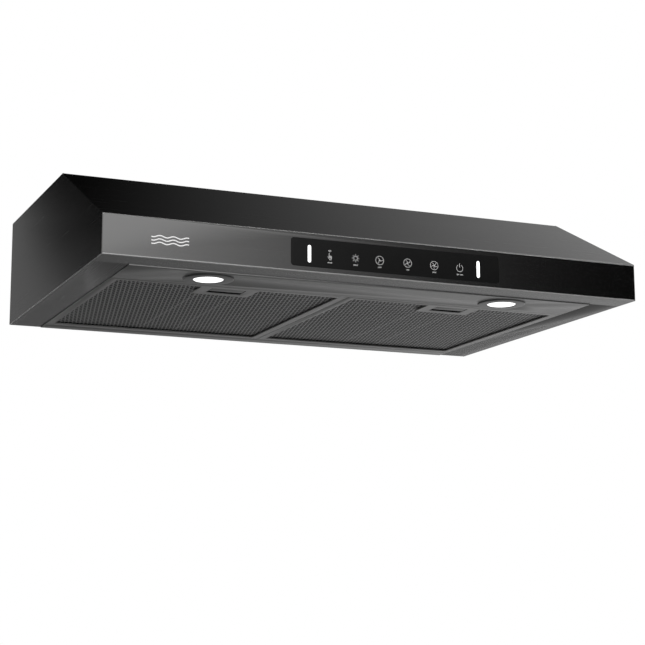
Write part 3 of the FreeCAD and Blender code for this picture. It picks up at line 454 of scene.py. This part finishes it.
def diamond_mesh(low, high, notch):
    """Strands of expanded metal inside a rectangle, without the notch."""
    bm = bmesh.new()
    reach = max(high.x - low.x, high.y - low.y)
    cells = 2 * math.ceil(reach / DIAMOND_X) + 6
    bmesh.ops.create_grid(bm, x_segments=cells, y_segments=cells, size=cells / 2)
    bmesh.ops.rotate(bm, verts=bm.verts, cent=(0, 0, 0), matrix=Matrix.Rotation(math.radians(45), 3, "Z"))
    half = math.sqrt(0.5)
    bmesh.ops.scale(bm, verts=bm.verts, vec=(half * DIAMOND_X, half * DIAMOND_Y, 1))
    bmesh.ops.translate(bm, verts=bm.verts, vec=((low.x + high.x) / 2, (low.y + high.y) / 2, high.z))
    keep_inside(bm, low, high)
    drop_notch(bm, *notch)
    whole = [face for face in bm.faces if face.calc_area() >= SLIVER * DIAMOND_X * DIAMOND_Y / 2]
    print("diamonds in one filter:", len(whole))
    bmesh.ops.inset_individual(bm, faces=whole, thickness=STRAND, use_even_offset=True)
    bmesh.ops.delete(bm, geom=whole, context="FACES")
    return bm


for side in SIDES:
    low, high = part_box(f"filter_mesh_{side}")
    latch_low, latch_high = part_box(f"latch_{side}")
    pocket = (latch_low.x - 4 * MM, latch_high.x + 4 * MM, latch_high.y + 13 * MM)
    clear = Vector((MESH_INSET, MESH_INSET, 0))
    face_mesh = diamond_mesh(low + clear, high - clear, pocket)
    made = piece(f"filter_{side}_mesh", face_mesh, f"filter_{side}", strands, [f"filter_mesh_{side}"])
    thick = made.modifiers.new("thickness", "SOLIDIFY")
    thick.thickness = high.z - low.z
    thick.offset = 1
    # the pack takes the nearly black finish: painted shade behind the strands
    frame["nodes"][f"filter_pack_{side}"].data.materials.clear()
    frame["nodes"][f"filter_pack_{side}"].data.materials.append(shaded_fine_layers.material)

# %% [markdown]
# ## Latches
# The finger plate is a grey moulding, level with the filter's face, and the gap behind it takes a fingertip. The copy
# of its solid has its lower faces brought down to that level, which folds its thin lip away, and its edges rounded.

# %% Latch plates
def moulded(name, level, rough, coat=0.0, grain=900.0):
    """Moulded plastic with a fine spark-eroded texture."""
    finish = Finish(name, coat_weight=coat)
    texture = finish.noise(finish.place(), grain, 2.0)
    clouds = finish.noise(finish.place(), 20.0, 2.0)
    finish.set("Base Color", finish.mix(clouds, grey(level * 0.85), grey(level * 1.15)))
    finish.set("Roughness", rough - 0.06 + 0.12 * texture)
    finish.bump(texture, 0.00004, 0.6)
    return finish


LIP_HEIGHT = 2 * MM
PLATE_RECESS = 0.2 * MM
latch_plastic = moulded("latch_plastic", 0.16, 0.35)
black_plastic = moulded("black_plastic", 0.02, 0.45)
for side in SIDES:
    plate = copied(f"latch_{side}")
    lip_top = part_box(f"latch_{side}")[0].z + LIP_HEIGHT
    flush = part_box(f"filter_frame_{side}")[0].z + PLATE_RECESS
    for vert in plate.verts:
        if vert.co.z < lip_top:
            vert.co.z = flush
    bmesh.ops.remove_doubles(plate, verts=plate.verts, dist=1e-5)
    bmesh.ops.dissolve_degenerate(plate, edges=plate.edges, dist=1e-5)
    bmesh.ops.dissolve_limit(plate, angle_limit=FLAT_WITHIN, verts=plate.verts, edges=plate.edges)
    print(f"latch_{side}_plate, rounded edges:", soften(plate, 0.35 * MM, 3))
    piece(f"latch_{side}_plate", plate, f"latch_{side}", latch_plastic, [f"latch_{side}"])

# %% [markdown]
# ## Lamps
# A pressed ring holds a milky lens. Both are turned shapes, so each is a half profile spun about its own axis. The
# ring's steep walls are in shadow on a real lamp, so they take a nearly black finish, and the lens glows evenly.

# %% Lamp finishes
def lamp_light():
    """Milky lens, lit from behind."""
    finish = Finish("lamp_light", base_color=grey(0.8), roughness=0.35, emission_color=grey(1.0))
    finish.set("Emission Strength", 1.4)
    ripple = finish.noise(finish.place(), 900.0, 1.0)
    finish.bump(ripple, 0.00003)
    return finish


def ring_metal():
    """Satin dark ring with turned marks."""
    finish = Finish("ring_metal", metallic=1.0)
    marks = finish.noise(finish.place((1, 1, 40)), 160.0, 2.0)
    finish.set("Base Color", finish.mix(marks, grey(0.17), grey(0.24)))
    finish.set("Roughness", 0.26 + 0.1 * marks)
    return finish


glow = lamp_light()
ring_finish = ring_metal()
# painted shade: a nearly black finish for the ring's steep walls, which lie in shadow
wall_shade_finish = moulded("ring_wall_shade", 0.01, 0.6)
print("lamp finishes:", glow.material.name, ring_finish.material.name, wall_shade_finish.material.name)

# %% Turning the rings and lenses
TURNS = 96
LENS_LAP = 4
STEEP = 0.7


def turned(profile, centre):
    """A closed outline of (radius, height) pairs in millimetres, spun about an upright axis."""
    bm = bmesh.new()
    start = [bm.verts.new((radius * MM, 0, height * MM)) for radius, height in profile]
    edges = [bm.edges.new((a, b)) for a, b in zip(start, start[1:] + start[:1])]
    bmesh.ops.spin(bm, geom=start + edges, cent=(0, 0, 0), axis=(0, 0, 1), angle=math.tau, steps=TURNS,
                   use_merge=True)
    bmesh.ops.remove_doubles(bm, verts=bm.verts, dist=1e-7)
    bmesh.ops.recalc_face_normals(bm, faces=bm.faces)
    bmesh.ops.translate(bm, verts=bm.verts, vec=centre)
    return bm


for side in SIDES:
    low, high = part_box(f"lamp_bezel_{side}")
    centre = Vector(((low.x + high.x) / 2, (low.y + high.y) / 2, low.z))
    radius = (high.x - low.x) / 2 / MM
    opening = (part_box(f"lamp_lens_{side}")[1].x - centre.x) / MM - LENS_LAP
    profile = [
        (opening + 0.3, 1.6), (opening + 0.3, 0.5), (opening + 0.9, 0), (radius - 2.2, 0), (radius - 1.2, 0.15),
        (radius - 0.3, 0.8), (radius, 1.5), (radius - 4, 1.5), (radius - 4, 13.5), (radius - 5, 13.5),
        (radius - 5, 2.9), (opening + 0.3, 2.9),
    ]
    ring = turned(profile, centre)
    for face in ring.faces:
        face.material_index = 1 if abs(face.normal.z) < STEEP else 0
    piece(f"lamp_{side}_ring", ring, "hood", ring_finish, [f"lamp_bezel_{side}"], second=wall_shade_finish)
    lens_profile = [
        (0, 0.25), (opening * 0.6, 0.3), (opening - 0.6, 0.45), (opening - 0.1, 0.8), (opening - 0.1, 3.1), (0, 3.1),
    ]
    lens = turned(lens_profile, centre)
    piece(f"lamp_{side}_lens", lens, "hood", glow, [f"lamp_lens_{side}"])
    print(f"{side} lamp: ring radius {radius:.1f} mm, opening radius {opening:.1f} mm")

# %% [markdown]
# ## Touch glass
# Black printed glass sits almost flush in the lip. Its front is set back by a skin's thickness, so that what is
# printed on it stays within the glass of the frame. The print absorbs light, so the glass reflects only a little.

# %% Glass finish
def printed_glass():
    """Black glass: dark print under a clear glossy face."""
    finish = Finish("printed_glass")
    finish.set("Specular IOR Level", 0.1)
    dust = finish.noise(finish.place(), 60.0, 3.0)
    finish.set("Base Color", finish.mix(dust, grey(0.012), grey(0.015)))
    finish.set("Roughness", 0.1 + 0.06 * dust)
    return finish


def lit_print(name, level, strength):
    """Symbols and bars lit from behind; on the breeze mark, which nothing lights from behind, the glow is painted
    light.
    """
    finish = Finish(name, base_color=grey(level), roughness=0.5, emission_color=grey(1.0))
    finish.set("Emission Strength", strength)
    return finish


glass_finish = printed_glass()
symbol_light = lit_print("symbol_light", 0.5, 0.5)
bar_light = lit_print("bar_light", 0.9, 1.3)
print("print finishes:", symbol_light.material.name, bar_light.material.name)

# %% The glass plate
glass_low, glass_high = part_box("control_glass")
GLASS_SKIN = 0.06 * MM
glass = copied("control_glass")
bmesh.ops.translate(glass, verts=[v for v in glass.verts if v.co.y < glass_low.y + 1e-5], vec=(0, GLASS_SKIN, 0))
soften(glass, 0.3 * MM, 2, lambda edge: middle(edge).y < glass_low.y + NEAR)
piece("touch_glass", glass, "hood", glass_finish, ["control_glass"])
print("glass in mm:", round((glass_high.x - glass_low.x) / MM, 1), "by", round((glass_high.z - glass_low.z) / MM, 1))

# %% [markdown]
# ## Symbols and mark
# The symbols are lit from behind, and each is drawn with round strokes: a poly curve with a bevel becomes a mesh, and
# its depth is squeezed until it is print. The hand, sun, three fans and the power sign are the plain symbols found on
# many hoods. Three waves at the left of the lip stand for moving air and name nobody.

# %% Drawing with strokes
def arc(x, z, radius, start, end, steps=24):
    """Points on an arc, with angles in degrees."""
    angles = [math.radians(start + (end - start) * i / steps) for i in range(steps + 1)]
    return [(x + radius * math.cos(a), z + radius * math.sin(a)) for a in angles]


PRINT_RELIEF = 0.05 * MM


def strokes(name, lines, at, width, finish, plane):
    """Strokes through points in millimetres round the point at, flattened on to the upright plane."""
    curve = bpy.data.curves.new(name, "CURVE")
    curve.dimensions = "3D"
    curve.bevel_depth = width * MM / 2
    curve.bevel_resolution = 1
    curve.use_fill_caps = True
    for line in lines:
        spline = curve.splines.new("POLY")
        spline.points.add(len(line) - 1)
        for point, (x, z) in zip(spline.points, line):
            point.co = (x * MM, 0, z * MM, 1)
    bm = meshed(name, curve)
    depths = [v.co.y for v in bm.verts]
    bmesh.ops.scale(bm, verts=bm.verts, vec=(1, PRINT_RELIEF / (max(depths) - min(depths)), 1))
    bmesh.ops.translate(bm, verts=bm.verts, vec=(at[0], plane, at[1]))
    piece(name, bm, "hood", finish)


def meshed(name, curve):
    """A curve or text as a bmesh."""
    drawn = bpy.data.objects.new(name + "_curve", curve)
    mesh = bpy.data.meshes.new_from_object(drawn)
    bpy.data.objects.remove(drawn)
    bm = bmesh.new()
    bm.from_mesh(mesh)
    bpy.data.meshes.remove(mesh)
    return bm


print("depth of the print in mm:", PRINT_RELIEF / MM)

# %% Symbols
panel_x = (glass_low.x + glass_high.x) / 2
symbol_z = glass_low.z + 16.2 * MM
word_z = glass_low.z + 6.4 * MM
print_plane = glass_low.y + GLASS_SKIN
SYMBOLS = {"hand": -95.5, "sun": -59.5, "fan_3": -25.5, "fan_4": 14.5, "fan_5": 53.0, "power": 90.5}
LINE = 0.42


def blades(count, inner=1.0, outer=4.3):
    """Curved blade strokes round a hub."""
    lines = []
    for i in range(count):
        turn = 90 + 360 * i / count
        lines.append([
            (r * math.cos(math.radians(turn + 9 * r)), r * math.sin(math.radians(turn + 9 * r)))
            for r in (inner, (inner + outer) / 2, outer)
        ])
    return lines


def ring_line(radius, x=0.0, z=0.0):
    return arc(x, z, radius, 0, 360, 36)


drawings = {
    "hand": [
        arc(0, 4.2, 1.6, 35, 145), arc(0, 4.2, 3.0, 40, 140), [(-0.9, -3.0), (-0.9, 3.6)], [(0.3, 0.4), (0.3, -3.4)],
        [(1.4, 0.1), (1.4, -3.4)], [(2.4, -0.4), (2.4, -3.4)], [(-2.6, -1.2), (-1.4, -3.2), (0, -5.2), (1.8, -5.2)],
        [(2.4, -3.4), (1.8, -5.2)],
    ],
    "sun": [ring_line(2.6), *[[(3.6 * math.cos(a), 3.6 * math.sin(a)), (5.2 * math.cos(a), 5.2 * math.sin(a))]
                              for a in [math.tau * i / 8 for i in range(8)]]],
    "fan_3": [ring_line(5.6), ring_line(0.7), *blades(3)],
    "fan_4": [ring_line(5.6), ring_line(0.7), *blades(4)],
    "fan_5": [ring_line(5.6), ring_line(0.7), *blades(5)],
    "power": [arc(0, -0.4, 4.6, 118, 422), [(0, 0.6), (0, 6.0)]],
}
for symbol, lines in drawings.items():
    strokes(f"symbol_{symbol}", lines, (panel_x + SYMBOLS[symbol] * MM, symbol_z), LINE, symbol_light, print_plane)
print("symbols:", ", ".join(drawings))

# %% Breeze mark on the lip
BREEZE = [[(x, row + 1.1 * math.sin(x * 0.36)) for x in range(-24, 25)] for row in (-4.2, 0.0, 4.2)]
breeze_at = (canopy_low.x + 85 * MM, canopy_low.z + 24 * MM)
# The breeze mark is printed on the steel lip with no lamp behind it; its glow is painted light.
breeze_glow_print = lit_print("breeze_glow_print", 0.75, 0.25)
strokes("breeze_mark", BREEZE, breeze_at, 1.5, breeze_glow_print, front - 0.02 * MM)
print("waves in the mark:", len(BREEZE))

# %% [markdown]
# ## Words and bars
# Small words name the functions, and a lit bar closes each end of the row. Text comes flat on the floor, so it is
# made a mesh and stood upright. A bar has round ends, which a skin drawn round four circles gives at once.

# %% Words and bars
WORDS = {"hand": "WAVE", "sun": "LIGHT", "fan_3": "LOW", "fan_4": "MID", "fan_5": "HIGH", "power": "ON / OFF"}
for symbol, word in WORDS.items():
    text = bpy.data.curves.new(f"word_{symbol}", "FONT")
    text.body = word
    text.size = 2.3 * MM
    text.align_x = "CENTER"
    text.extrude = 0.02 * MM
    letters = meshed(f"word_{symbol}", text)
    bmesh.ops.rotate(letters, verts=letters.verts, cent=(0, 0, 0), matrix=Matrix.Rotation(math.pi / 2, 3, "X"))
    place = (panel_x + SYMBOLS[symbol] * MM, print_plane - 0.01 * MM, word_z)
    bmesh.ops.translate(letters, verts=letters.verts, vec=place)
    piece(f"word_{symbol}", letters, "hood", symbol_light)

bar_low, bar_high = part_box("light_guides")
BAR_WIDTH = 4.4 * MM
BAR_INSET = 2.3 * MM
BAR_HEIGHT = bar_high.z - bar_low.z - 1.6 * MM


def pill(name, x, z):
    """A lit bar with round ends: a skin drawn round four circles."""
    bm = bmesh.new()
    for end in (-0.5, 0.5):
        for depth in (-0.02, 0.02):
            rim = bmesh.ops.create_circle(bm, segments=24, radius=BAR_WIDTH / 2)["verts"]
            bmesh.ops.rotate(bm, verts=rim, cent=(0, 0, 0), matrix=Matrix.Rotation(math.pi / 2, 3, "X"))
            place = (x, print_plane + depth * MM, z + end * (BAR_HEIGHT - BAR_WIDTH))
            bmesh.ops.translate(bm, verts=rim, vec=place)
    bmesh.ops.convex_hull(bm, input=bm.verts)
    piece(name, bm, "hood", bar_light)


for side, x in zip(SIDES, (bar_low.x + BAR_INSET, bar_high.x - BAR_INSET)):
    pill(f"bar_{side}", x, (bar_low.z + bar_high.z) / 2)
print("bar height in mm:", round(BAR_HEIGHT / MM, 1))

# %% [markdown]
# ## Inner parts
# With the filters down, the blowers and boxes show. They keep their solids from the frame, and each gets the finish
# that it has in a real hood: galvanised sheet with its crystals, moulded black nylon, green board, copper windings.

# %% Inner finishes
def galvanised():
    """Zinc coated sheet: pale crystals of slightly different greys."""
    finish = Finish("galvanised", metallic=1.0)
    crystals = finish.node("ShaderNodeTexVoronoi", None, {"Vector": finish.place(), "Scale": 90.0}, "Color")
    level = finish.node("ShaderNodeSeparateColor", None, {"Color": crystals}, "Red")
    finish.set("Base Color", finish.mix(level, grey(0.42, -0.01), grey(0.58, -0.01)))
    finish.set("Roughness", 0.32 + 0.18 * level)
    return finish


def circuit_board():
    finish = Finish("circuit_board", roughness=0.35)
    tracks = finish.noise(finish.place((1, 6, 1)), 120.0, 1.0) > 0.55
    finish.set("Base Color", finish.mix(tracks, (0.01, 0.10, 0.03, 1), (0.02, 0.2, 0.06, 1)))
    finish.bump(tracks, 0.00005)
    return finish


def plain_metal(name, colour, rough, scale=400.0):
    """Plain turned or plated metal."""
    finish = Finish(name, metallic=1.0)
    marks = finish.noise(finish.place(), scale, 2.0)
    dark = tuple(0.85 * c for c in colour)
    finish.set("Base Color", finish.mix(marks, (*dark, 1), (*colour, 1)))
    finish.set("Roughness", rough + 0.12 * marks)
    return finish


def windings():
    """Enamelled copper wire laid side by side."""
    finish = Finish("windings", metallic=0.9, roughness=0.35)
    turns = finish.node("ShaderNodeTexWave", {"bands_direction": "Z"},
                        {"Vector": finish.place(), "Scale": 260.0, "Distortion": 1.5}, "Fac")
    finish.set("Base Color", finish.mix(turns, (0.25, 0.07, 0.02, 1), (0.62, 0.24, 0.08, 1)))
    finish.bump(turns, 0.0003)
    return finish


def rubber():
    finish = Finish("rubber", roughness=0.85)
    bloom = finish.noise(finish.place(), 300.0, 2.0)
    finish.set("Base Color", finish.mix(bloom, grey(0.012), grey(0.03)))
    return finish


INNER = {
    "plain_steel": galvanised(), "zinc_steel": plain_metal("zinc_plate", (0.6, 0.6, 0.57), 0.25),
    "aluminium": plain_metal("plain_aluminium", (0.62, 0.62, 0.63), 0.3),
    "brass": plain_metal("bronze", (0.5, 0.33, 0.14), 0.35),
    "shaft_steel": plain_metal("ground_steel", (0.5, 0.5, 0.51), 0.15), "circuit_board": circuit_board(),
    "copper_winding": windings(), "rubber": rubber(), "black_plastic": black_plastic,
    "wheel_plastic": moulded("wheel_nylon", 0.03, 0.5), "lamp_board": moulded("lamp_board", 0.7, 0.5),
    "diffuser": moulded("clear_bars", 0.7, 0.3),
}
slots = {part["node"]: part["material_slot"] for part in frame["record"]["subparts"]}
finished = 0
for node, solid in frame["nodes"].items():
    if slots[node] in INNER and not node.startswith("filter_pack"):
        solid.data.materials.clear()
        solid.data.materials.append(INNER[slots[node]].material)
        finished += 1
print("inner solids given a finish:", finished)

# %% [markdown]
# ## Studio
# Metal shows what stands round it. The room is a plain even white to the camera, and cards that the camera doesn't see
# give each flat face its own soft slope from dark to light: three in front for the lip, two above for the slope, one
# beside the end panel and one below for the underside. Two small ones only draw a line of light along the folds.

# %% World, cards and floor
ROOM_LIGHT = 0.12
FLOOR_Z = -0.75
FLOOR_HALF = 8.0


def make_world():
    """White to the eye, dimmer as a source of light."""
    world = bpy.data.worlds.new("room")
    world.use_nodes = True
    nodes, links = world.node_tree.nodes, world.node_tree.links
    background = next(n for n in nodes if n.type == "BACKGROUND")
    path = nodes.new("ShaderNodeLightPath")
    strength = nodes.new("ShaderNodeMapRange")
    strength.inputs["To Min"].default_value = ROOM_LIGHT
    strength.inputs["To Max"].default_value = 1.0
    links.new(path.outputs["Is Camera Ray"], strength.inputs["Value"])
    links.new(strength.outputs["Result"], background.inputs["Strength"])
    background.inputs["Color"].default_value = grey(1.0)
    bpy.context.scene.world = world


def card(name, middle_at, across, up, dark, light, curve=1.0, sharp=1.0):
    """A glowing card from its middle and two half sides. Its glow runs from dark to light along across.

    A curve over 1 keeps the glow low for longer; sharp squeezes the whole change towards the middle.
    """
    mesh = bpy.data.meshes.new(name)
    bm = bmesh.new()
    bmesh.ops.create_grid(bm, x_segments=1, y_segments=1, size=1, calc_uvs=True)
    across, up = Vector(across), Vector(up)
    axes = Matrix((across, up, across.cross(up).normalized())).transposed()
    bmesh.ops.transform(bm, matrix=axes.to_4x4(), verts=bm.verts)
    bmesh.ops.translate(bm, verts=bm.verts, vec=middle_at)
    layer = bm.loops.layers.uv.active or bm.loops.layers.uv.new()
    for face in bm.faces:
        for loop in face.loops:
            offset = loop.vert.co - Vector(middle_at)
            loop[layer].uv = ((offset.dot(across) / across.length_squared + 1) / 2, 0.5)
    bm.to_mesh(mesh)
    bm.free()
    made = bpy.data.objects.new(name, mesh)
    bpy.context.scene.collection.objects.link(made)
    finish = Finish(name)
    where = finish.node("ShaderNodeTexCoord", output="UV")
    along = finish.node("ShaderNodeSeparateXYZ", None, {"Vector": where}, "X")
    ramp = ((along - 0.5) * sharp + 0.5).clamped()
    level = dark + (light - dark) * ramp ** curve
    shine = finish.node("ShaderNodeEmission", None, {"Strength": level})
    finish.tree.links.new(shine.socket, finish.tree.nodes["Material Output"].inputs["Surface"])
    mesh.materials.append(finish.material)
    made.visible_camera = False
    made.visible_shadow = False


def make_floor():
    """A pale floor that is clear from below, so that the hood's underside can be looked at."""
    bm = bmesh.new()
    bmesh.ops.create_grid(bm, x_segments=1, y_segments=1, size=FLOOR_HALF)
    bmesh.ops.translate(bm, verts=bm.verts, vec=(0, 0, FLOOR_Z))
    mesh = bpy.data.meshes.new("floor")
    bm.to_mesh(mesh)
    bm.free()
    floor = bpy.data.objects.new("floor", mesh)
    bpy.context.scene.collection.objects.link(floor)
    paint = Finish("pale_floor", roughness=0.7)
    tone = paint.noise(paint.place(), 1.5, 2.0)
    paint.set("Base Color", paint.mix(tone, grey(0.78), grey(0.84)))
    paint.set("Emission Color", grey(1.0))
    paint.set("Emission Strength", 0.3)
    beneath = paint.node("ShaderNodeNewGeometry", output="Backfacing")
    clear = paint.node("ShaderNodeBsdfTransparent", output="BSDF")
    solid = Wire(paint, paint.shader.outputs["BSDF"])
    shown = paint.node("ShaderNodeMixShader", None, {0: beneath, 1: solid, 2: clear}, "Shader")
    paint.tree.links.new(shown.socket, paint.tree.nodes["Material Output"].inputs["Surface"])
    mesh.materials.append(paint.material)


make_world()
make_floor()
card("lip_card_light", (-0.75, -1.35, 0.3), (0.6, 0, 0), (0, 0, 1.1), 1.2, 1.1)
card("lip_card_fade", (0.475, -1.35, 0.3), (-0.625, 0, 0), (0, 0, 1.1), 0.0, 1.1, 2.75)
card("lip_card_dark", (1.8, -1.35, 0.3), (0.7, 0, 0), (0, 0, 1.1), 0.0, 0.0)
card("slope_card_dark", (-0.95, 0.15, 1.0), (0.75, 0, 0), (0, -0.35, 0.98), 0.0, 0.0)
card("slope_card_light", (0.6, 0.15, 1.0), (0.8, 0, 0), (0, -0.35, 0.98), 0.0, 0.84, 1.55)
card("end_card", (-0.505, 0.42, 0.03), (0.179, 0, -0.0894), (0.134, 0, 0.268), 0.0, 0.32, 1.0, 8.0)
card("edge_card", (-0.56, 0.7, -0.48), (0.06, 0, 0), (0, 0.3, 0), 2.5, 2.5)
card("under_card", (0.5, 1.65, -0.5), (2.0, 0, 0), (0, 2.25, 0), 0.0, 0.95, 1.7)
card("fold_strip", (0.2, -1.0, 1.5), (1.5, 0, 0), (0, 0.1, 0.06), 3.0, 3.0)


def ceiling_light(strength, spread, towards):
    """Even soft light: a sun as wide as a bank of ceiling panels."""
    lamp = bpy.data.lights.new("ceiling", "SUN")
    lamp.energy = strength
    lamp.angle = math.radians(spread)
    made = bpy.data.objects.new("ceiling", lamp)
    made.rotation_euler = Vector(towards).to_track_quat("-Z", "Y").to_euler()
    made.visible_glossy = False
    bpy.context.scene.collection.objects.link(made)


ceiling_light(2.0, 50, (0.1, 0.1, -1.0))
bpy.context.scene.view_settings.view_transform = "Standard"
